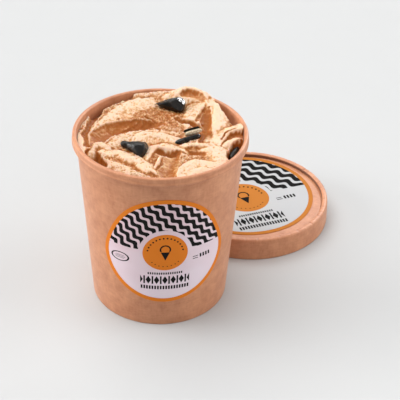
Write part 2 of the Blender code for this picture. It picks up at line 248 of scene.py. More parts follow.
@dataclass(frozen=True)
class KraftPaper:
    """Brown paper with soft blotches and short fibres, and painted shade where a fold is deep."""

    name: str = "kraft paper"
    pale: Colour = (0.61, 0.272, 0.134)
    dark: Colour = (0.43, 0.158, 0.068)
    # The seam colour is painted shade. It is laid where the mesh's shade amount marks deep folds and creases.
    seam: Colour = (0.10, 0.032, 0.012)
    fleck: Colour = (0.34, 0.110, 0.050)
    roughness: float = 0.50
    specular: float = 0.55
    sheen: float = 0.10
    sheen_roughness: float = 0.4
    blotches: float = 120.0
    fibres: float = 700.0
    fibre_height: float = 0.00004
    lying: Point = (0.35, 0.35, 1.3)
    standing: Point = (1.2, 1.2, 0.3)

    def material(self) -> bpy.types.Material:
        """Return the paper's material."""
        wiring = Wiring(self.name, self.roughness, self.specular)
        place = wiring.place()
        blotch = wiring.noise(place, self.blotches, 4.0, 0.6)
        lying = wiring.noise(wiring.vector("MULTIPLY", place, self.lying), self.fibres, 3.0)
        standing = wiring.noise(wiring.vector("MULTIPLY", place, self.standing), self.fibres, 3.0)
        fibre = lying + standing
        body = wiring.blend((blotch * 0.9 + fibre * 0.35).spread(0.55, 1.05), self.dark, self.pale)
        flecks = wiring.noise(place, self.fibres * 0.8, 1.0).spread(0.68, 0.80, 0.0, 0.45)
        flecked = wiring.blend(flecks, body, self.fleck)
        wiring.relief(fibre, self.fibre_height)
        # Painted shade: the shade amount blends the paper towards the seam colour.
        wiring.dress({"Base Color": wiring.blend(wiring.attribute("shade"), flecked, self.seam),
                      "Sheen Weight": self.sheen, "Sheen Roughness": self.sheen_roughness})
        return wiring.material


@dataclass(frozen=True)
class Sheet:
    """Where each point of a label is, in millimetres: x and y, and how far, on its print,
    and its reach from the label's own middle.
    """

    x: Value
    y: Value
    far: Value
    reach: Value

    def block(self, across: float, up: float, half_width: float, half_height: float) -> Value:
        """Return where an upright rectangle round a point is."""
        return (abs(self.x - across) < half_width) * (abs(self.y - up) < half_height)


@dataclass(frozen=True)
class Dashes:
    """A row of short upright dashes: its middle, half its size, its repeat and their share."""

    across: float
    up: float
    half_width: float
    half_height: float
    period: float
    share: float

    def drawn(self, sheet: Sheet) -> Value:
        """Return where the dashes are."""
        dash = sheet.x.folded(self.period) < self.period * self.share / 2
        return sheet.block(self.across, self.up, self.half_width, self.half_height) * dash


@dataclass(frozen=True)
class PrintedLabel:
    """Round printed paper: a ring, waves over its upper half, a disc with a cone of ice
    cream in a circle of dots, and rows of small plain shapes below.

    Lengths are millimetres on a label of the unit radius, in the label's own UV map.
    """

    name: str
    radius: float
    ring: float
    ground: Colour
    ground_low: Colour
    ink: Colour
    black: Colour = (0.006, 0.0055, 0.005)
    stamped: bool = True
    roughness: float = 0.42
    specular: float = 0.4
    disc: float = 12.9
    gap: float = 15.6
    pitch: float = 4.75
    line: float = 0.60
    wave: float = 7.0
    swing: float = 0.95
    shift: Point = (0.0, 0.0, 0.0)
    rows: tuple[Dashes, ...] = (
        Dashes(0.0, -14.6, 9.2, 0.75, 1.15, 0.62),
        Dashes(0.0, -24.6, 12.9, 1.25, 1.43, 0.66),
        Dashes(22.0, -6.0, 3.4, 1.3, 1.7, 0.62),
    )
    grain: float = 0.000015

    UNIT_RADIUS = 35.0

    def material(self) -> bpy.types.Material:
        """Return the printed label's material."""
        wiring = Wiring(self.name, self.roughness, self.specular)
        uv = wiring.node("UVMap", {}, uv_map="label").outputs["UV"]
        place = wiring.vector("MULTIPLY", uv, (self.UNIT_RADIUS / self.radius,) * 3)
        spot = wiring.vector("SUBTRACT", place, self.shift)
        x, y = wiring.parts(spot)
        label_x, label_y = wiring.parts(place)
        sheet = Sheet(x, y, x.distance(y), label_x.distance(label_y))
        orange = (sheet.reach > self.UNIT_RADIUS - self.ring) | (sheet.far < self.disc)
        black = self.waves(sheet) | self.dots(sheet) | self.cone(sheet) | self.lozenges(sheet)
        for row in self.rows:
            black = black | row.drawn(sheet)
        for level in (-5.6, -7.0):
            black = black | sheet.block(16.4, level, 1.5, 0.25)
        if self.stamped:
            black = black | self.stamp(sheet)
        tint = (y - x * 0.7).spread(-30.0, 25.0)
        cloud = wiring.noise(spot, 0.05, 1.0).spread(0.35, 0.65, -0.25, 0.25)
        paper = wiring.blend(tint + cloud, self.ground_low, self.ground)
        wiring.dress({"Base Color": wiring.blend(black, wiring.blend(orange, paper, self.ink), self.black)})
        wiring.relief(wiring.noise(wiring.place(), 1400.0, 3.0), self.grain)
        return wiring.material

    def waves(self, sheet: Sheet) -> Value:
        """Return where the falling waves are, over the upper half and clear of the disc."""
        slant, lowest = math.sqrt(2), 1.2
        turn = (sheet.x - sheet.y) * (math.tau / (self.wave * slant))
        swung = turn.then("SINE") * (self.swing * slant)
        row = (sheet.x + sheet.y + swung) / (self.pitch * slant)
        stripe = (row + 20.3).then("FRACT") < self.line
        inside = sheet.reach < self.UNIT_RADIUS - self.ring
        return stripe * (inside * (sheet.far > self.gap) * (sheet.y > lowest))

    def lozenges(self, sheet: Sheet) -> Value:
        """Return where the wide row of lozenges is, with a thin line between each two."""
        level, half_height, half_width, period = -19.3, 2.8, 1.45, 4.3
        fold = sheet.x.folded(period, period / 2)
        lozenge = fold / half_width + abs(sheet.y - level) / half_height < 1.0
        return sheet.block(0.0, level, 3 * period, half_height) * (lozenge | (fold > 1.72))

    def stamp(self, sheet: Sheet) -> Value:
        """Return where the small oval outline with its three lines is."""
        across, up = -24.6, -6.8
        reach = ((sheet.x - across) / 5.0).distance((sheet.y - up) / 2.9)
        drawn = abs(reach - 1.0) < 0.10
        for level, half_width in ((up + 0.9, 2.6), (up, 3.2), (up - 0.9, 2.6)):
            drawn = drawn | sheet.block(across, level, half_width, 0.13)
        return drawn

    def dots(self, sheet: Sheet) -> Value:
        """Return where the dots in a circle are, left out at both sides."""
        circle, count, size = self.disc * 0.79, 28, 0.52
        beside = sheet.y.then("ARCTAN2", sheet.x).folded(math.tau / count) * circle
        smaller = (sheet.y < -3.0).spread(0.0, 1.0, size, size * 0.6)
        dot = beside.distance(sheet.far - circle) < smaller
        return dot * (abs(sheet.y + 3.2) > 2.6)

    def cone(self, sheet: Sheet) -> Value:
        """Return where the small cone with one scoop is."""
        wafer = (abs(sheet.x) < (sheet.y + 5.4) * 0.44) * (sheet.y < 0.2)
        scoop = abs(sheet.x.distance(sheet.y - 2.0) - 2.7) < 0.42
        return wafer | scoop * (sheet.y > 0.6)


@dataclass(frozen=True)
class CreamFinish:
    """Soft ice cream, with painted light and shade: paler where it stands proud, browner and deeper in its
    hollows.
    """

    name: str = "ice cream"
    # The crest colour is painted light on the proud parts, and the hollow colour is painted shade in the
    # hollows. The pit colour is painted shade in the torn grain's pits, mixed with its brown specks. The body
    # colour is the ice cream's own.
    crest: Colour = (0.75, 0.535, 0.380)
    body: Colour = (0.60, 0.325, 0.148)
    hollow_shade: Colour = (0.36, 0.112, 0.022)
    pit: Colour = (0.34, 0.130, 0.048)
    roughness: float = 0.42
    specular: float = 0.12
    scatter: float = 0.45
    scatter_tint: Point = (1.0, 0.45, 0.22)
    depth: float = 0.0012
    grain_height: float = 0.00022

    def material(self) -> bpy.types.Material:
        """Return the ice cream's material."""
        wiring = Wiring(self.name, self.roughness, self.specular)
        place = wiring.place()
        torn = wiring.attribute("torn")
        cloud = wiring.noise(place, 160.0).spread(0.3, 0.7, -0.13, 0.13)
        mottle = wiring.noise(place, 750.0).spread(0.3, 0.7, -0.09, 0.09)
        # Painted light and shade: the mesh's shade amount, with a little random tone, turns the colour from
        # the pale crest, over the body, to the brown of the hollows.
        deep = wiring.attribute("hollow_shade") + (cloud + mottle)
        proud = wiring.blend(deep.spread(0.25, 0.50), self.crest, self.body)
        toned = wiring.blend(deep.spread(0.48, 0.92), proud, self.hollow_shade)
        crumbs = wiring.cells(place, 1150.0)
        fine = wiring.noise(place, 2400.0, 3.0, 0.6)
        # The torn grain's darker specks are brown specks and painted shade in its pits.
        speck = crumbs.spread(0.42, 0.72) * torn.spread(0.3, 1.0, 0.0, 0.7)
        rough = (crumbs * -0.7 + fine * 0.5) * torn
        wiring.relief(rough + (fine - crumbs * 0.5) * 0.4, self.grain_height)
        wiring.dress({"Base Color": wiring.blend(speck, toned, self.pit), "Subsurface Weight": self.scatter,
                      "Subsurface Radius": self.scatter_tint, "Subsurface Scale": self.depth})
        return wiring.material


@dataclass(frozen=True)
class Coating:
    """Dark chocolate coating: nearly black, with a gloss that thins in small patches."""

    name: str
    roughness: float
    specular: float
    tone: Colour = (0.0045, 0.0034, 0.0026)
    worn: Colour = (0.020, 0.014, 0.009)
    patches: float = 420.0
    ripple: float = 0.00030

    def material(self) -> bpy.types.Material:
        """Return the coating's material."""
        wiring = Wiring(self.name, self.roughness, self.specular)
        place = wiring.place()
        worn = wiring.noise(place, self.patches, 3.0, 0.6).spread(0.45, 0.75)
        wiring.dress({"Base Color": wiring.blend(worn, self.tone, self.worn)})
        wiring.relief(wiring.noise(place, self.patches, 2.5), self.ripple)
        return wiring.material


@dataclass(frozen=True)
class BiscuitFinish:
    """Baked wafer biscuit: pale, porous and browner in its pores."""

    name: str = "wafer biscuit"
    pale: Colour = (0.74, 0.63, 0.46)
    baked: Colour = (0.30, 0.19, 0.09)
    roughness: float = 0.75
    specular: float = 0.3
    pore_height: float = 0.0002

    def material(self) -> bpy.types.Material:
        """Return the biscuit's material."""
        wiring = Wiring(self.name, self.roughness, self.specular)
        place = wiring.place()
        pores = wiring.cells(place, 1700.0)
        crumb = wiring.noise(place, 1500.0, 3.0, 0.6)
        browned = (pores * 0.6 + crumb * 0.5).spread(0.42, 0.72)
        wiring.dress({"Base Color": wiring.blend(browned, self.pale, self.baked)})
        wiring.relief(crumb - pores, self.pore_height)
        return wiring.material


@dataclass(frozen=True)
class StudioPaper:
    """The pale table top, with a hardly visible mottle."""

    name: str = "studio table"
    pale: Colour = (0.535, 0.540, 0.540)
    dim: Colour = (0.525, 0.530, 0.530)
    roughness: float = 0.9

    def material(self) -> bpy.types.Material:
        """Return the table top's material."""
        wiring = Wiring(self.name, self.roughness, 0.0)
        mottle = wiring.noise(wiring.place(), 25.0, 3.0)
        wiring.dress({"Base Color": wiring.blend(mottle, self.pale, self.dim)})
        return wiring.material


@dataclass(frozen=True)
class Corner:
    """A corner of a turned outline, at a radius and a height, rounded by a fillet."""

    radius: float
    height: float
    fillet: float = 0.0


ARC_STEPS = 5


def outline(corners: Sequence[Corner]) -> list[tuple[float, float]]:
    """Return a closed outline's points with each corner rounded by its fillet."""
    points = []
    for index, corner in enumerate(corners):
        here = Vector((corner.radius, corner.height))
        if not corner.fillet:
            points.append(tuple(here))
            continue
        before = corners[index - 1]
        after = corners[(index + 1) % len(corners)]
        back = Vector((before.radius, before.height)) - here
        on = Vector((after.radius, after.height)) - here
        start = here + back.normalized() * min(corner.fillet, 0.49 * back.length)
        end = here + on.normalized() * min(corner.fillet, 0.49 * on.length)
        for step in range(ARC_STEPS + 1):
            share = step / ARC_STEPS
            on_curve = (1 - share) ** 2 * start + 2 * share * (1 - share) * here + share ** 2 * end
            points.append(tuple(on_curve))
    return points


def turned(corners: Sequence[Corner], steps: int) -> Shape:
    """Turn a closed outline round the upright axis.

    Args:
        corners: The outline's corners, in order.
        steps: The number of faces round the shape.

    Returns:
        The closed round shape.
    """
    shape = bmesh.new()
    points = [shape.verts.new((radius, 0.0, height)) for radius, height in outline(corners)]
    edges = [shape.edges.new((a, b)) for a, b in zip(points, points[1:] + points[:1])
             if a.co.x > 0 or b.co.x > 0]
    bmesh.ops.spin(shape, geom=points + edges, cent=(0, 0, 0), axis=(0, 0, 1),
                   angle=math.tau, steps=steps, use_merge=True)
    bmesh.ops.remove_doubles(shape, verts=shape.verts, dist=0.0005)
    return shape


def new_verts(made: dict) -> list[bmesh.types.BMVert]:
    """Return the vertices among what an extrusion has made."""
    return [item for item in made["geom"] if isinstance(item, bmesh.types.BMVert)]


def warped(shape: Shape, length: float, amount: float, low: float, high: float) -> None:
    """Make a turned shape slightly uneven between two heights, in and out."""
    for vert in shape.verts:
        if low <= vert.co.z <= high:
            push = amount * noise.noise(vert.co / length)
            flat = Vector((vert.co.x, vert.co.y, 0.0))
            vert.co += flat.normalized() * push


@dataclass
class Tub:
    """The paper tub: cone with rolled rim and folded foot, base disc, seam and label."""

    spot: Spot
    paper: bpy.types.Material
    print: bpy.types.Material
    height: float = 102.0
    foot_radius: float = 38.0
    neck_radius: float = 44.8
    neck_height: float = 97.6
    rim_radius: float = 47.0
    ply: float = 0.5
    foot_fold: float = 5.0
    base_top: float = 6.3
    label_radius: float = 35.0
    label_height: float = 52.5
    label_turn: float = math.radians(4.0)
    label_lift: float = 0.25
    steps: int = 256

    def wall_radius(self, height: float) -> float:
        """Return the cone's outer radius at a height."""
        return self.foot_radius + (self.neck_radius - self.foot_radius) * height / self.neck_height

    def wall(self) -> Shape:
        """Return the cone with its rolled rim and its foot folded in and up."""
        at, ply, rim = self.wall_radius, self.ply, self.rim_radius
        flange, under, curl = 1.6, self.height - 0.8, self.rim_radius - self.ply
        shape = turned((
            Corner(at(0.0) - 0.1, 0.0, 0.8), Corner(at(self.neck_height), self.neck_height),
            Corner(at(under), under, 0.3), Corner(curl - 0.1, under, 0.9),
            Corner(curl, 98.1, 0.6), Corner(curl - 1.0, 98.1, 0.1), Corner(curl - 1.0, 97.6, 0.1),
            Corner(rim + 0.15, 97.4, 0.6), Corner(rim + 0.15, 98.5, 0.5), Corner(rim - 0.15, 99.2, 0.4),
            Corner(rim - 0.1, self.height - 0.1, 1.3),
            Corner(at(self.height) - ply + 0.1, self.height, 1.1),
            Corner(at(98.0) - ply, 98.0), Corner(at(50.0) - ply, 50.0),
            Corner(at(ply) - ply, ply, 0.2), Corner(at(ply) - flange, ply, 0.2),
            Corner(at(self.foot_fold) - flange, self.foot_fold, 0.15),
            Corner(at(self.foot_fold) - flange - ply, self.foot_fold, 0.15),
            Corner(at(0.0) - flange - ply, 0.0, 0.5),
        ), self.steps)
        warped(shape, 14.0, 0.12, 97.0, self.height + 1)
        return shape

    def base(self) -> Shape:
        """Return the base disc with its flange turned down into the folded foot."""
        at, outer, inner, low, high = self.wall_radius, 0.85, 1.25, 0.9, self.base_top
        return turned((
            Corner(0.0, high), Corner(at(high) - outer, high, 0.5), Corner(at(low) - outer, low, 0.1),
            Corner(at(low) - inner, low, 0.1), Corner(at(high) - inner, high - self.ply, 0.3),
            Corner(0.0, high - self.ply),
        ), self.steps)

    def seam(self) -> Shape:
        """Return the glued overlap that runs up the back of the cone."""
        low, high, half, middle = 0.8, 97.0, 4.0, math.radians(82.0)
        proud, clear = 0.35, 0.02
        shape = bmesh.new()
        bmesh.ops.create_grid(shape, x_segments=8, y_segments=24, size=1.0)
        for vert in shape.verts:
            height = low + (high - low) * (vert.co.y + 1) / 2
            radius = self.wall_radius(height) + proud
            turn = middle + vert.co.x * half / radius
            vert.co = (radius * math.cos(turn), radius * math.sin(turn), height)
        bmesh.ops.recalc_face_normals(shape, faces=shape.faces)
        drawn = bmesh.ops.extrude_face_region(shape, geom=list(shape.faces), use_keep_orig=True)
        for vert in new_verts(drawn):
            vert.co -= Vector((vert.co.x, vert.co.y, 0.0)).normalized() * (proud - clear)
        return shape

    def label(self) -> Shape:
        """Return the label, wrapped on the front of the cone and narrower towards its top."""
        shape = label_disc(self.label_radius, 0.2)
        middle = self.wall_radius(self.label_height)
        even, change, level, length = 0.965, 0.115, 2.0, 14.0
        for vert in shape.verts:
            height = self.label_height + vert.co.y
            radius = self.wall_radius(height) + self.label_lift + vert.co.z
            narrowed = even - change * math.tanh((vert.co.y - level) / length)
            turn = self.label_turn + vert.co.x * narrowed / middle
            vert.co = (radius * math.sin(turn), -radius * math.cos(turn), height)
        return shape

    def build(self) -> list[Piece]:
        """Build the tub's pieces."""
        return [
            add_piece("tub_wall_paper", self.wall(), self.spot, self.paper, ["tub_wall"]),
            add_piece("tub_base_paper", self.base(), self.spot, self.paper, ["tub_base"]),
            add_piece("tub_seam", self.seam(), self.spot, self.paper),
            add_piece("tub_label_print", self.label(), self.spot, self.print, ["label_tub"]),
        ]


def label_disc(radius: float, thickness: float, rings: int = 24, sides: int = 128) -> Shape:
    """Return a thin disc with a UV map in millimetres, its face at +Z.

    Args:
        radius: The disc's radius.
        thickness: Its thickness, downwards from 0.
        rings: The number of rings of faces.
        sides: The number of sides.
    """
    shape = bmesh.new()
    bmesh.ops.create_circle(shape, cap_ends=False, segments=sides, radius=radius)
    edges = list(shape.edges)
    for ring in range(1, rings):
        drawn = bmesh.ops.extrude_edge_only(shape, edges=edges)
        share = (1 - ring / rings) / (1 - (ring - 1) / rings)
        bmesh.ops.scale(shape, vec=(share, share, 1.0), verts=new_verts(drawn))
        edges = [item for item in drawn["geom"] if isinstance(item, bmesh.types.BMEdge)]
    bmesh.ops.contextual_create(shape, geom=edges)
    bmesh.ops.recalc_face_normals(shape, faces=shape.faces)
    if shape.faces[0].normal.z < 0:
        bmesh.ops.reverse_faces(shape, faces=shape.faces)
    drawn = bmesh.ops.extrude_face_region(shape, geom=list(shape.faces), use_keep_orig=True)
    bmesh.ops.translate(shape, vec=(0, 0, -thickness), verts=new_verts(drawn))
    layer = shape.loops.layers.uv.new("label")
    for face in shape.faces:
        for loop in face.loops:
            loop[layer].uv = loop.vert.co.xy
    return shape


@dataclass
class Lid:
    """The paper lid: band with its curled edge, recessed disc and label."""

    spot: Spot
    paper: bpy.types.Material
    print: bpy.types.Material
    radius: float = 49.9
    top_radius: float = 49.5
    height: float = 14.1
    disc_top: float = 11.7
    ply: float = 0.5
    ring: float = 3.2
    label_radius: float = 43.0
    label_turn: float = math.radians(19.3)
    label_off: Point = (-2.2, 2.1, 0.0)
    label_lift: float = 0.3
    creases: int = 46
    steps: int = 480

    def band(self) -> Shape:
        """Return the band: curled in at its open edge, folded in and down at the top."""
        outer, top, fold = self.radius, self.height, self.top_radius - self.ring
        shape = turned((
            Corner(outer, 1.2, 0.6), Corner(outer - 0.1, 0.0, 1.1), Corner(outer - 2.3, 0.0, 1.1),
            Corner(outer - 2.4, 3.0, 0.6), Corner(outer - 1.6, 3.1, 0.3), Corner(outer - 1.9, 2.1, 0.2),
            Corner(outer - 1.9, 0.5, 0.5), Corner(outer - 0.6, 0.5, 0.5),
            Corner(self.top_radius - 0.5, top - 0.5, 0.9), Corner(fold + 0.5, top - 0.5, 0.5),
            Corner(fold + 0.5, self.disc_top + 0.05, 0.1), Corner(fold, self.disc_top + 0.05, 0.1),
            Corner(fold, top - 0.1, 1.0), Corner(self.top_radius, top + 0.05, 1.8),
        ), self.steps)
        # Painted shade: the inner wall, where the top ring folds down to the recessed disc, is marked dark.
        layer = shape.verts.layers.float.new("shade")
        for vert in shape.verts:
            far = math.hypot(vert.co.x, vert.co.y)
            vert[layer] = 0.9 if far < fold + 0.3 and vert.co.z < top - 0.7 else 0.0
        warped(shape, 11.0, 0.14, 2.0, top + 1)
        self.crimp(shape, layer)
        return shape

    def crimp(self, shape: Shape, layer: object) -> None:
        """Press the short creases into the top ring, where its paper is gathered, and paint shade into their
        inner ends.

        Args:
            shape: The band.
            layer: The layer that holds how shaded each vertex is.
        """
        middle = self.top_radius - self.ring / 2
        between = math.tau / self.creases
        width, shallow, varied, deepest, stray, reach = 0.45, 0.15, 1.1, 0.7, 0.6, 2.6
        shade_edge, shade_fade = middle + 0.9, 1.5
        for vert in shape.verts:
            if vert.co.z < self.height - reach:
                continue
            turn = math.atan2(vert.co.y, vert.co.x) % math.tau
            far = math.hypot(vert.co.x, vert.co.y)
            nearest = int(turn / between)
            for number in (nearest, nearest + 1):
                seed = number % self.creases * 3.7
                chance = [noise.noise(Vector((seed, row, 0.0))) for row in (0.0, 5.0, 9.0)]
                off = turn - (number + stray * chance[0]) * between
                beside = (off * middle - stray * chance[2] * (far - middle)) / width
                pinch = math.exp(-beside * beside) * min(shallow + varied * abs(chance[1]), deepest)
                vert.co.z -= pinch
                # Painted shade in the inner end of each crease, as dark as the crease is deep.
                inner = min(max((shade_edge - far) / shade_fade, 0.0), 1.0)
                vert[layer] = max(vert[layer], inner * pinch)

    def disc(self) -> Shape:
        """Return the recessed disc with its flange turned up inside the band."""
        flange, low, gap = self.top_radius - 0.95, self.disc_top - self.ply, 2.6
        return turned((
            Corner(0.0, low), Corner(flange, low, 0.5), Corner(flange, self.height - 0.9, 0.1),
            Corner(flange - 0.4, self.height - 0.9, 0.1), Corner(flange - 0.4, self.disc_top - 0.3, 0.1),
            Corner(flange - gap, self.disc_top - 0.3, 0.1), Corner(flange - gap - 0.4, self.disc_top, 0.3),
            Corner(0.0, self.disc_top),
        ), 192)

    def label(self) -> Shape:
        """Return the round label on the disc."""
        shape = label_disc(self.label_radius, 0.2)
        top = self.disc_top + self.label_lift
        bmesh.ops.rotate(shape, matrix=Matrix.Rotation(self.label_turn, 3, "Z"), verts=shape.verts)
        bmesh.ops.translate(shape, vec=Vector(self.label_off) + Vector((0, 0, top)), verts=shape.verts)
        return shape

    def build(self) -> list[Piece]:
        """Build the lid's pieces."""
        return [
            add_piece("lid_band_paper", self.band(), self.spot, self.paper, ["lid_band"]),
            add_piece("lid_disc_paper", self.disc(), self.spot, self.paper, ["lid_disc"]),
            add_piece("lid_label_print", self.label(), self.spot, self.print, ["label_lid"]),
        ]


class Kind(Enum):
    """What a stroke does to the ice cream's top."""

    FOLD = 1
    SCOOP = -1


@dataclass(frozen=True)
class Stroke:
    """A run of the scoop or spatula through three points of the ice cream's top.

    Left and right are its half widths to either side of its run, and depth is how far
    its surface has moved there. A lip is the height thrown up beside it. Torn is how
    rough its surface is, from 0 to 1, and combed the height of the fine lines along it.
    """

    kind: Kind
    name: str
    start: Point
    middle: Point
    end: Point
    left: float
    right: float
    depth: float
    lip: float = 0.0
    torn: float = 0.35
    combed: float = 0.0


fold, scoop = partial(Stroke, Kind.FOLD), partial(Stroke, Kind.SCOOP)
STROKES = (
    fold("left shoulder", (-33, -2, 97.8), (-29, 19, 99.4), (-12, 36, 100.8), 6, 15, 3.5, 0, 0.2),
    fold("smear on the left wall", (-39, 21, 95.0), (-44, 3, 98.2), (-41, -14, 97.8), 5, 6, 1.6, 0, 0.08),
    scoop("left moat", (-35, 23, 95.6), (-39.8, 8, 96), (-38.6, -9, 96.4), 1.8, 1.8, 1.4, 0, 0.3),
    fold("rim of the shoulder", (-33, 14, 99), (-36.6, 4, 98.6), (-36, -6, 98), 2, 2.4, 1.8, 0, 0.3),
    scoop("back left gap", (-15, 42, 98.5), (-27, 35, 95), (-37, 23, 94), 2.2, 2.2, 2.5, 0, 0.4),
    fold("back edge", (-14, 41.5, 100.8), (-2, 42.5, 101.4), (9, 41.5, 102.8), 3, 3.5, 2.2, 0, 0.6),
    fold("tall swirl", (5.5, 41.5, 102.2), (15, 42, 105.8), (25.5, 38.5, 105.3), 4, 9, 6, 0, 0.3, 0.10),
    scoop("swirl hollow", (12, 36.5, 102), (19, 35, 102), (25, 30, 101.6), 3.8, 6, 3.6, 0, 0.05),
    fold("ramp", (26, 33, 102.4), (21, 24, 100.8), (17, 15, 99.2), 2.6, 11, 3, 0, 0.2, 0.15),
    fold("right back fold", (27, 35, 103.4), (31.5, 23, 102), (30, 8, 99.6), 6.5, 7, 3.4, 0, 0.05, 0.22),
    scoop("right back gap", (33, 31, 98), (39.5, 20, 94), (41.8, 10, 97), 2.4, 2.4, 2.5, 0, 0.1),
    scoop("right groove", (25, 26, 100.6), (24.2, 11, 95.6), (23.5, -3, 95.2), 3.4, 3.6, 3, 0.4, 0.15),
    scoop("groove under the ramp", (9, 19, 97.2), (15, 14.5, 95.6), (24, 8.5, 95), 2.4, 2.2, 2.4, 0.4),
    fold("right ridge", (28.5, 12, 99.4), (28.4, 2, 98.8), (26, -11, 98.2), 7, 1.6, 2.2, 0, 0.3),
    fold("right strap", (30, -9, 98.4), (35.5, 0.5, 100), (43.5, 3, 102.4), 9, 1.3, 2.6, 0, 0.1, 0.15),
    fold("shelf below the strap", (33, -8, 98.6), (37, -4.6, 99.2), (42, -2.8, 99.4), 3, 3.6, 2, 0, 0.06),
    fold("middle right ridge", (9, -10, 97.8), (18, -8.5, 99.2), (28, -12, 98.6), 5, 1.8, 2.4, 0, 0.3),
    fold("right front lump", (27, -10, 98.8), (32, -16, 98.8), (30, -27, 97.8), 6, 9, 2.6, 0, 0.15),
    scoop("pocket under the ridge", (12, -12, 96.2), (17, -14, 94.8), (22, -15, 96.2), 2, 2.4, 2, 0, 0.1),
    fold("front petal", (9, -38, 97), (14, -24.5, 98.6), (29, -24.5, 98), 1.5, 12, 2.8, 0, 0.1, 0.12),
    fold("front petal inner fold", (14, -33, 97.4), (21, -30, 98.2), (29, -31, 97.4), 2, 4, 1.2, 0, 0.1),
    scoop("front trough", (9, -13, 96.8), (6.3, -22, 95.4), (3.5, -40, 94.8), 4.5, 6, 2.4, 0.3, 0.05, 0.06),
    scoop("great scoop", (-33, -6, 95.4), (-27, 3.5, 94), (-14, 9, 93.8), 8, 4.5, 4.6, 0.9, 0.03, 0.04),
    scoop("great scoop's tail", (-22, 7.5, 94), (-11, 10.5, 93.4), (-1, 11.5, 96.4), 5.5, 3.6, 4, 0.5, 0.4),
    fold("scoop's near ridge", (-27, -5, 98), (-14, 3.5, 99.4), (4, 6, 98.4), 2, 9, 2, 0, 0.5),
    fold("centre flap", (-15, -3.5, 98.8), (-8, 1.2, 100.4), (6, -0.5, 99), 3, 7, 2, 0, 0.3),
    fold("centre roll", (-5.5, -19, 97.8), (-0.5, -12, 99.6), (9, -12.5, 98.4), 6.5, 2.2, 2.8, 0, 0.3),
    scoop("pocket under the roll", (0, -14.8, 95.4), (5, -15.4, 93.8), (9, -14.6, 95.6), 1.6, 1.8, 2, 0, 0.1),
    fold("flake", (0.2, -19, 98.6), (-1.5, -24, 98.8), (-2.6, -29, 98), 1.3, 1.3, 2, 0, 0.3),
    fold("front left fold", (-29, -16, 98.4), (-18, -20, 99), (-6, -31, 98), 6, 3, 2, 0, 0.25),
    fold("front left hem", (-30, -22, 97.6), (-20, -28, 98), (-8, -37, 97.4), 2.5, 4, 1.4, 0, 0.45),
    fold("front lump", (-14, -34, 98), (-11, -36, 98.6), (-8, -37.5, 98), 2.5, 2.5, 1.6, 0, 0.7),
    scoop("left pocket", (-37, -14, 93), (-34, -19, 90.5), (-30, -27, 93), 2.4, 2.2, 3, 0, 0.2),
    fold("left knob", (-36, -13.5, 97.4), (-32.5, -8, 99.4), (-27, -13, 98.2), 3, 3.4, 2.4, 0, 0.4),
    scoop("right pocket", (43.3, -4, 95), (40.6, -10, 88), (36, -18.5, 94), 2.6, 2.5, 4.4, 0, 0.1),
)
CRACKS = (
    scoop("long crack", (-7.8, 20.0, 97.4), (-3.5, 16.8, 96.6), (-1.0, 12.8, 96.8), 0.5, 0.9, 1.2, 0.2, 0.5),
    scoop("short crack", (8.2, 19.8, 97.4), (11.5, 18.6, 96.9), (14.8, 15.8, 97.2), 0.5, 0.8, 1.2, 0.2, 0.5),
    scoop("strap crease", (31.6, -2.8, 98.4), (35.6, 2.2, 99.2), (40.8, 4.2, 100.4),
          0.4, 0.9, 1.0, 0.15, 0.1),
)


def noise_field(x: np.ndarray, y: np.ndarray, length: float, layer: float) -> np.ndarray:
    """Return smooth noise of about -1 to 1, with waves of a length, at each point."""
    return np.array([noise.noise(Vector((a, b, layer))) for a, b in zip(x / length, y / length)])


def blurred(values: np.ndarray, reach: int, rounds: int = 3) -> np.ndarray:
    """Return a square field smoothed over so many cells to either side."""
    width = 2 * reach + 1
    for _ in range(rounds):
        for axis in (0, 1):
            pads = [(0, 0), (0, 0)]
            pads[axis] = (reach + 1, reach)
            sums = np.cumsum(np.pad(values, pads, mode="edge"), axis=axis)
            upper = np.take(sums, range(width, sums.shape[axis]), axis=axis)
            lower = np.take(sums, range(0, sums.shape[axis] - width), axis=axis)
            values = (upper - lower) / width
    return values


@dataclass(frozen=True)
class BrownPatch:
    """A browner place on the ice cream: its middle, how far it fades out, and its strength."""

    x: float
    y: float
    across: float
    back: float
    strength: float

    def share(self, x: np.ndarray, y: np.ndarray) -> np.ndarray:
        """Return how brown each point is."""
        return self.strength * np.exp(-((x - self.x) / self.across) ** 2 - ((y - self.y) / self.back) ** 2)


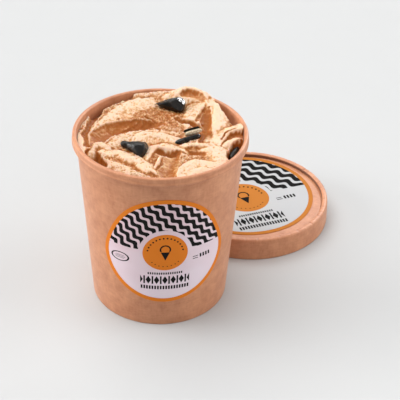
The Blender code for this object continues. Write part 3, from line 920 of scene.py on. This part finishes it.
@dataclass
class IceCream:
    """The ice cream: scooped top, cone inside the paper and a flat bottom.

    A grain holds the heights of its crumbs, pits and fine crumbs, and its level. A tone
    is what each cause adds to the painted shade that browns the top, from 0 to 1: all of it
    evenly, where the top shuts out the sky, where it dips, where it is scooped and where it lies low.
    """

    spot: Spot
    tub: Tub
    finish: bpy.types.Material
    clearance: float = 0.3
    cells: int = 285
    level: float = 97.8
    tilt: float = 0.045
    wobble: float = 0.7
    wobble_length: float = 7.0
    ragged: float = 0.42
    ragged_length: float = 1.6
    crest: float = 1.1
    untouched: float = 0.9
    samples: int = 24
    torn_grain: tuple[float, ...] = (0.50, 0.60, 0.45, 0.15)
    smooth_grain: tuple[float, ...] = (0.24, 0.16, 0.09, 0.0)
    even_tone: float = 0.18
    shut_in_tone: float = 1.5
    dip_tone: float = 0.7
    scooped_tone: float = 0.13
    low_from: float = 96.0
    low_tone: float = 0.15
    low_most: float = 0.50
    brown_patches: tuple[BrownPatch, ...] = (
        BrownPatch(-3.0, 20.0, 17.0, 9.0, 0.34),
        # Painted shade in the deep trough of the great scoop's tail.
        BrownPatch(-9.0, 10.5, 10.0, 3.6, 0.34),
    )

    def path(self, stroke: Stroke) -> np.ndarray:
        """Return points along the smooth curve through a stroke's three points."""
        start, middle, end = (np.array(point, float) for point in (stroke.start, stroke.middle, stroke.end))
        pull = 2.0 * middle - 0.5 * (start + end)
        along = np.linspace(0.0, 1.0, self.samples + 1)[:, None]
        return (1 - along) ** 2 * start + 2 * along * (1 - along) * pull + along ** 2 * end

    def run(self, stroke: Stroke, x: np.ndarray, y: np.ndarray) -> tuple[np.ndarray, ...]:
        """Return a stroke's surface, and where each point lies across its run.

        Args:
            stroke: The stroke.
            x: The points' places across the tub.
            y: The points' places to its back.

        Returns:
            The surface's height, the distance to the left of the run and the place along it.
        """
        path = self.path(stroke)
        nearest = np.full(x.shape, np.inf)
        surface = np.zeros(x.shape)
        beside = np.zeros(x.shape)
        along = np.zeros(x.shape)
        passed = 0.0
        for here, there in zip(path[:-1], path[1:]):
            run = there - here
            length = np.hypot(run[0], run[1])
            share = ((x - here[0]) * run[0] + (y - here[1]) * run[1]) / length ** 2
            share = np.clip(share, 0.0, 1.0)
            gap_x = x - here[0] - share * run[0]
            gap_y = y - here[1] - share * run[1]
            distance = np.hypot(gap_x, gap_y)
            leftward = run[0] * gap_y - run[1] * gap_x
            width = np.where(leftward > 0, stroke.left, stroke.right)
            height = here[2] + share * run[2] - stroke.kind.value * stroke.depth * (distance / width) ** 2
            closer = distance < nearest
            nearest = np.where(closer, distance, nearest)
            surface = np.where(closer, height, surface)
            beside = np.where(closer, np.where(leftward > 0, distance, -distance), beside)
            along = np.where(closer, passed + share * length, along)
            passed += length
        return surface, beside, along

    def top(self, x: np.ndarray, y: np.ndarray) -> tuple[np.ndarray, np.ndarray, np.ndarray]:
        """Return the top's height, how torn it is, and 1 where scooped or -1 where folded."""
        wobble_x = noise_field(x, y, self.wobble_length, 0.0)
        wobble_y = noise_field(x, y, self.wobble_length, 50.0 / self.wobble_length)
        ragged_x = noise_field(x, y, self.ragged_length, 7.0)
        ragged_y = noise_field(x, y, self.ragged_length, 17.0)
        bent_x = x + 2 * self.wobble * wobble_x + self.ragged * ragged_x
        bent_y = y + 2 * self.wobble * wobble_y + self.ragged * ragged_y
        height = self.level + self.tilt * y + self.wobble * wobble_x
        torn = np.full(x.shape, self.untouched)
        worked = np.zeros(x.shape)
        for stroke in STROKES + CRACKS:
            surface, beside, along = self.run(stroke, bent_x, bent_y)
            kind = stroke.kind.value
            if stroke.combed:
                drawn_out = along * 0.12
                lines = noise_field(beside, drawn_out, 1.1, 3.0)
                lines += 0.5 * noise_field(beside, drawn_out, 0.5, 9.0)
                surface = surface + stroke.combed * lines
            if kind > 0:
                tear = noise_field(along, beside * 0.4, 1.3, 21.0)
                near_crest = np.exp(-(beside / self.crest) ** 2)
                surface = surface + (0.10 + 1.1 * stroke.torn) * tear * near_crest
            inside = kind * (surface - height)
            lip = stroke.lip * np.exp(np.minimum(inside, 0.0) / max(stroke.lip, 0.1))
            height = np.where(inside > 0, surface, height + lip)
            torn = np.where(inside > 0, stroke.torn, torn)
            worked = np.where(inside > 0, -kind, worked)
        return height, torn, worked

    def grained(self, x: np.ndarray, y: np.ndarray, height: np.ndarray, torn: np.ndarray) -> np.ndarray:
        """Return the top's height with its crumbs and pits added where it is torn."""
        coarse = noise_field(x, y, 2.6, 31.0)
        middling = noise_field(x, y, 1.3, 41.0)
        fine = noise_field(x, y, 0.75, 51.0)
        rough, gentle = (grain[0] * coarse - grain[1] * np.abs(middling) + grain[2] * fine + grain[3]
                         for grain in (self.torn_grain, self.smooth_grain))
        return height + torn * rough + gentle

    def shut_in(self, grid: np.ndarray, cell: float) -> np.ndarray:
        """Return how much of the sky the top itself hides at each point, from 0 to 1.

        Args:
            grid: The top's height on a square grid.
            cell: The width of its cells.
        """
        hidden = np.zeros(grid.shape)
        turns, edge, side = 12, 24, len(grid)
        around = np.pad(grid, edge, mode="edge")
        for turn in range(turns):
            angle = math.tau * turn / turns
            slope = np.zeros(grid.shape)
            for far in (1, 2, 4, 7, 11, 16, 24):
                down, right = round(far * math.sin(angle)), round(far * math.cos(angle))
                seen = around[edge + down:edge + down + side, edge + right:edge + right + side]
                slope = np.maximum(slope, (seen - grid) / (far * cell))
            hidden += np.sin(np.arctan(slope))
        return blurred(hidden / turns, 1, 1)

    def shape(self) -> Shape:
        """Return the whole solid, with its painted shade and how torn it is at each point."""
        shape = bmesh.new()
        bmesh.ops.create_grid(shape, x_segments=self.cells, y_segments=self.cells, size=1.0)
        at = self.tub.wall_radius
        inside = at(self.tub.height) - self.tub.ply - self.clearance
        square = np.array([vert.co[:2] for vert in shape.verts])
        x = inside * square[:, 0] * np.sqrt(1.0 - square[:, 1] ** 2 / 2.0)
        y = inside * square[:, 1] * np.sqrt(1.0 - square[:, 0] ** 2 / 2.0)
        height, torn, worked = self.top(x, y)
        side = int(round(math.sqrt(len(height))))
        field_torn = blurred(torn.reshape(side, side), 2, 1).ravel()
        height = self.grained(x, y, height, field_torn)
        grid = height.reshape(side, side)
        # Painted shade: the top browns where it hides the sky from itself, where it dips below its
        # surroundings, where it lies low and where it is scooped, with the browner places added.
        brown_patch = sum(brown_patch.share(x, y) for brown_patch in self.brown_patches).reshape(side, side)
        sunk = self.shut_in_tone * self.shut_in(grid, 2 * inside / side)
        sunk += self.dip_tone * (blurred(grid, 3) - grid)
        low = np.clip((self.low_from - grid) * self.low_tone, 0.0, self.low_most)
        scooped = self.scooped_tone * blurred(worked.reshape(side, side), 2, 1)
        hollow_shade = np.clip(self.even_tone + sunk + low + brown_patch + scooped, 0.0, 1.0).ravel()
        reach = (x ** 2 + y ** 2) / inside ** 2
        taper = (at(self.tub.height) - at(height)) / inside
        shrink = 1.0 - reach * np.maximum(taper, 0.0)
        hollow_shade_layer = shape.verts.layers.float.new("hollow_shade")
        torn_layer = shape.verts.layers.float.new("torn")
        placed = zip(shape.verts, x * shrink, y * shrink, height, hollow_shade, field_torn)
        for vert, a, b, c, sunken, rough in placed:
            vert.co = (a, b, c)
            vert[hollow_shade_layer] = sunken
            vert[torn_layer] = rough
        rim = [edge for edge in shape.edges if edge.is_boundary]
        drawn = bmesh.ops.extrude_edge_only(shape, edges=rim)
        bottom = self.tub.base_top + self.clearance
        foot = at(bottom) - self.tub.ply - self.clearance
        for vert in new_verts(drawn):
            low = Vector((vert.co.x, vert.co.y)).normalized() * foot
            vert.co = (low.x, low.y, bottom)
        bmesh.ops.holes_fill(shape, edges=[edge for edge in shape.edges if edge.is_boundary], sides=0)
        return shape

    def build(self) -> list[Piece]:
        """Build the ice cream."""
        return [add_piece("ice_cream_scooped", self.shape(), self.spot, self.finish,
                          ["ice_cream"], sharp=80.0)]


@dataclass(frozen=True)
class Press:
    """A flat that is pressed on a coated piece: its direction and its distance out."""

    facing: Point
    out: float


@dataclass(frozen=True)
class Lump:
    """A coated piece, from its tip over a neck to a blunt wide end.

    The radii are at the tip, neck and wide end. Squash is height over width, and tail is
    how far the wide end's lower corner is drawn out.
    """

    tip: Point
    wide: Point
    tip_radius: float
    neck_radius: float
    wide_radius: float
    squash: float
    tail: float
    presses: tuple[Press, ...] = ()

    def shape(self) -> Shape:
        """Return the lump."""
        shape = bmesh.new()
        bmesh.ops.create_uvsphere(shape, u_segments=64, v_segments=56, radius=1.0)
        tip, wide = Vector(self.tip), Vector(self.wide)
        axis = wide - tip
        neck, bluntness, flaring, uneven = 0.3, 5, 0.8, 0.07
        for vert in shape.verts:
            share = 0.5 + 0.5 * vert.co.z
            fullness = math.sqrt(max(1.0 - abs(vert.co.z) ** bluntness, 0.0))
            flare = max(share - neck, 0.0) / (1 - neck)
            start = self.tip_radius + (self.neck_radius - self.tip_radius) * min(share / neck, 1.0)
            radius = start + (self.wide_radius - self.neck_radius) * flare ** flaring
            facing = math.atan2(vert.co.y, vert.co.x)
            reach = radius * (1.0 + uneven * math.cos(3 * facing + 1.0)) * fullness
            vert.co = (math.cos(facing) * reach, math.sin(facing) * reach * self.squash, share * axis.length)
        turn = axis.to_track_quat("Z", "Y").to_matrix().to_4x4()
        bmesh.ops.transform(shape, matrix=Matrix.Translation(tip) @ turn, verts=shape.verts)
        for vert in shape.verts:
            share = (vert.co - tip).dot(axis) / axis.length ** 2
            beside = (vert.co - tip - axis * share) / self.wide_radius
            forward = max(-0.8 * beside.y - 0.6 * beside.z, 0.0)
            vert.co += Vector((0.15, -0.75, -0.6)) * self.tail * max(share, 0.0) ** 3 * forward ** 2
        self.press(shape)
        return shape

    def press(self, shape: Shape) -> None:
        """Press each flat on the lump, and make its coat slightly uneven."""
        middle = (Vector(self.tip) + Vector(self.wide) * 2) / 3
        flatness, uneven, length = 0.92, 0.10, 1.8
        for flat in self.presses:
            facing = Vector(flat.facing).normalized()
            for vert in shape.verts:
                beyond = (vert.co - middle).dot(facing) - flat.out
                if beyond > 0:
                    vert.co -= facing * beyond * flatness
        for vert in shape.verts:
            vert.co += vert.normal * uneven * noise.noise(vert.co / length)


@dataclass
class Toppings:
    """The coated wafer pieces that lie in the ice cream."""

    spot: Spot
    glossy: bpy.types.Material
    satin: bpy.types.Material
    biscuit: bpy.types.Material
    back: Lump = Lump((-4.2, 31.2, 101.6), (13.4, 27.6, 102.0), 0.7, 2.7, 5.4, 0.9, 0.5, (
        Press((0.05, -0.75, 0.65), 3.2), Press((-0.35, 0.2, 0.9), 2.9), Press((0.8, -0.6, 0.1), 5.6),
        Press((0.45, -0.15, 0.88), 3.8)))
    front: Lump = Lump((-21.0, -8.2, 99.3), (-7.0, -14.6, 98.8), 2.2, 2.0, 5.4, 0.9, 3.2, (
        Press((0.1, 0.25, 0.95), 3.4), Press((-0.4, -0.8, 0.5), 3.6), Press((0.85, -0.1, 0.4), 4.6)))
    edge: Lump = Lump((41.2, -4.6, 95.2), (36.8, -14.2, 92.6), 1.1, 1.7, 2.3, 1.0, 0.0)
    bar: Lump = Lump((7.6, -5.6, 97.8), (21.4, 1.2, 98.6), 1.7, 1.7, 1.7, 0.85, 0.0)
    core: Lump = Lump((12.8, 0.6, 99.6), (22.2, 5.0, 100.0), 1.25, 1.25, 1.25, 0.85, 0.0)
    coat: Lump = Lump((12.2, 2.7, 99.9), (20.9, 6.7, 100.3), 0.45, 0.45, 0.45, 2.4, 0.0)

    def build(self) -> list[Piece]:
        """Build the coated pieces."""
        plan = (
            ("wafer_piece_back", self.back, self.glossy, Slot.CHOCOLATE, "chocolate_back"),
            ("wafer_piece_front", self.front, self.satin, Slot.CHOCOLATE, "chocolate_front"),
            ("wafer_piece_edge", self.edge, self.satin, Slot.CHOCOLATE, "chocolate_edge"),
            ("wafer_coated_bar", self.bar, self.glossy, Slot.CHOCOLATE, "wafer_bar"),
            ("wafer_biscuit_core", self.core, self.biscuit, Slot.BISCUIT, "wafer_core"),
            ("wafer_thin_coat", self.coat, self.glossy, Slot.CHOCOLATE, "wafer_coat"),
        )
        return [add_piece(name, lump.shape(), self.spot, finish, [node])
                for name, lump, finish, slot, node in plan]


@dataclass(frozen=True)
class Sun:
    """A broad, even light.

    Side is where it stands round the object, in degrees from +X towards +Y, rise its
    height above the table and spread how wide it looks from there, in degrees too.
    """

    name: str
    side: float
    rise: float
    power: float
    spread: float

    def add(self) -> None:
        """Add the light to the scene."""
        data = bpy.data.lights.new(self.name, "SUN")
        data.energy = self.power
        data.angle = math.radians(self.spread)
        piece = bpy.data.objects.new(self.name, data)
        bpy.context.scene.collection.objects.link(piece)
        turn, lift = math.radians(self.side), math.radians(self.rise)
        towards = Vector((math.cos(turn) * math.cos(lift), math.sin(turn) * math.cos(lift), math.sin(lift)))
        piece.rotation_euler = (-towards).to_track_quat("-Z", "Y").to_euler()


@dataclass
class Studio:
    """The pale table, the lights and the camera."""

    finish: bpy.types.Material
    target: Point = (0.0, -0.02, 0.06)
    table: float = 3.0
    camera_place: Point = (-0.02865, -0.58649, 0.43394)
    camera_forward: Point = (0.03294563, 0.82456045, -0.56481382)
    camera_up: Point = (-0.00713276, 0.56530018, 0.82485443)
    lens: float = 108.612
    surround: float = 0.25
    suns: tuple[Sun, ...] = (
        Sun("key from the back left", 156.0, 70.0, 2.45, 58.0),
        Sun("behind", 95.0, 38.0, 0.40, 50.0),
        Sun("left side", 174.0, 10.0, 3.2, 40.0),
        Sun("right side", 0.0, 16.0, 1.95, 50.0),
        Sun("front", -80.0, 56.0, 0.63, 80.0),
    )

    def floor(self) -> Piece:
        """Make the table top."""
        shape = bmesh.new()
        bmesh.ops.create_grid(shape, x_segments=4, y_segments=4, size=self.table)
        mesh = bpy.data.meshes.new("studio_table")
        shape.to_mesh(mesh)
        shape.free()
        mesh.materials.append(self.finish)
        piece = bpy.data.objects.new("studio_table", mesh)
        bpy.context.scene.collection.objects.link(piece)
        return piece

    def camera(self) -> None:
        """Place the camera."""
        data = bpy.data.cameras.new("camera")
        data.lens = self.lens
        data.sensor_width = 36.0
        data.clip_start = 0.01
        piece = bpy.data.objects.new("camera", data)
        bpy.context.scene.collection.objects.link(piece)
        ahead, up = Vector(self.camera_forward), Vector(self.camera_up)
        turn = Matrix((ahead.cross(up), up, -ahead)).transposed().to_4x4()
        piece.matrix_world = Matrix.Translation(self.camera_place) @ turn
        bpy.context.scene.camera = piece

    def box(self, name: str, place: Point, size: tuple[float, float], power: float) -> None:
        """Add a small softbox, for the gloss on the coated pieces."""
        data = bpy.data.lights.new(name, "AREA")
        data.shape = "RECTANGLE"
        data.size, data.size_y = size
        data.energy = power
        piece = bpy.data.objects.new(name, data)
        bpy.context.scene.collection.objects.link(piece)
        piece.location = place
        piece.visible_diffuse = False
        piece.rotation_euler = (Vector(self.target) - Vector(place)).to_track_quat("-Z", "Y").to_euler()

    def light(self) -> None:
        """Light the object softly from the back left and the right."""
        world = bpy.data.worlds.new("studio")
        world.use_nodes = True
        background = world.node_tree.nodes["Background"]
        background.inputs["Color"].default_value = (1.0, 1.0, 1.0, 1.0)
        background.inputs["Strength"].default_value = self.surround
        bpy.context.scene.world = world
        bpy.context.scene.view_settings.view_transform = "Standard"
        for sun in self.suns:
            sun.add()
        self.box("strip behind", (0.385, 0.540, 0.486), (0.24, 0.16), 5.0)

    def build(self) -> list[Piece]:
        """Build the studio."""
        self.camera()
        self.light()
        return [self.floor()]


LILAC = PrintedLabel(
    "tub label", 35.0, ring=2.5, disc=12.3, gap=15.0, specular=0.08,
    ground=(0.70, 0.53, 0.57), ground_low=(0.76, 0.65, 0.71), ink=(0.70, 0.195, 0.018))
GREY = PrintedLabel(
    "lid label", 43.0, ring=2.2, disc=12.4, gap=15.0, specular=0.03,
    ground=(0.455, 0.455, 0.460), ground_low=(0.445, 0.450, 0.460), ink=(0.450, 0.160, 0.028),
    stamped=False, pitch=5.7, line=0.62, wave=7.8, swing=1.15, shift=(-0.8, -3.0, 0.0))


def main() -> None:
    """Build the pint, piece by piece, and the studio around it."""
    logging.basicConfig(level=logging.INFO, format="%(relativeCreated)6.0f ms %(message)s")
    tub_spot, lid_spot = Spot.under("tub_wall"), Spot.under("lid_band")
    kraft = KraftPaper().material()
    tub = Tub(tub_spot, kraft, LILAC.material())
    assemblies = (
        tub,
        Lid(lid_spot, kraft, GREY.material()),
        IceCream(tub_spot, tub, CreamFinish().material()),
        Toppings(tub_spot, Coating("glossy coating", 0.10, specular=0.35).material(),
                 Coating("satin coating", 0.32, specular=0.4).material(), BiscuitFinish().material()),
        Studio(StudioPaper().material()),
    )
    for assembly in assemblies:
        for piece in assembly.build():
            LOG.info("%s: %s with %d faces", type(assembly).__name__, piece.name, len(piece.data.polygons))


if __name__ == "__main__":
    main()
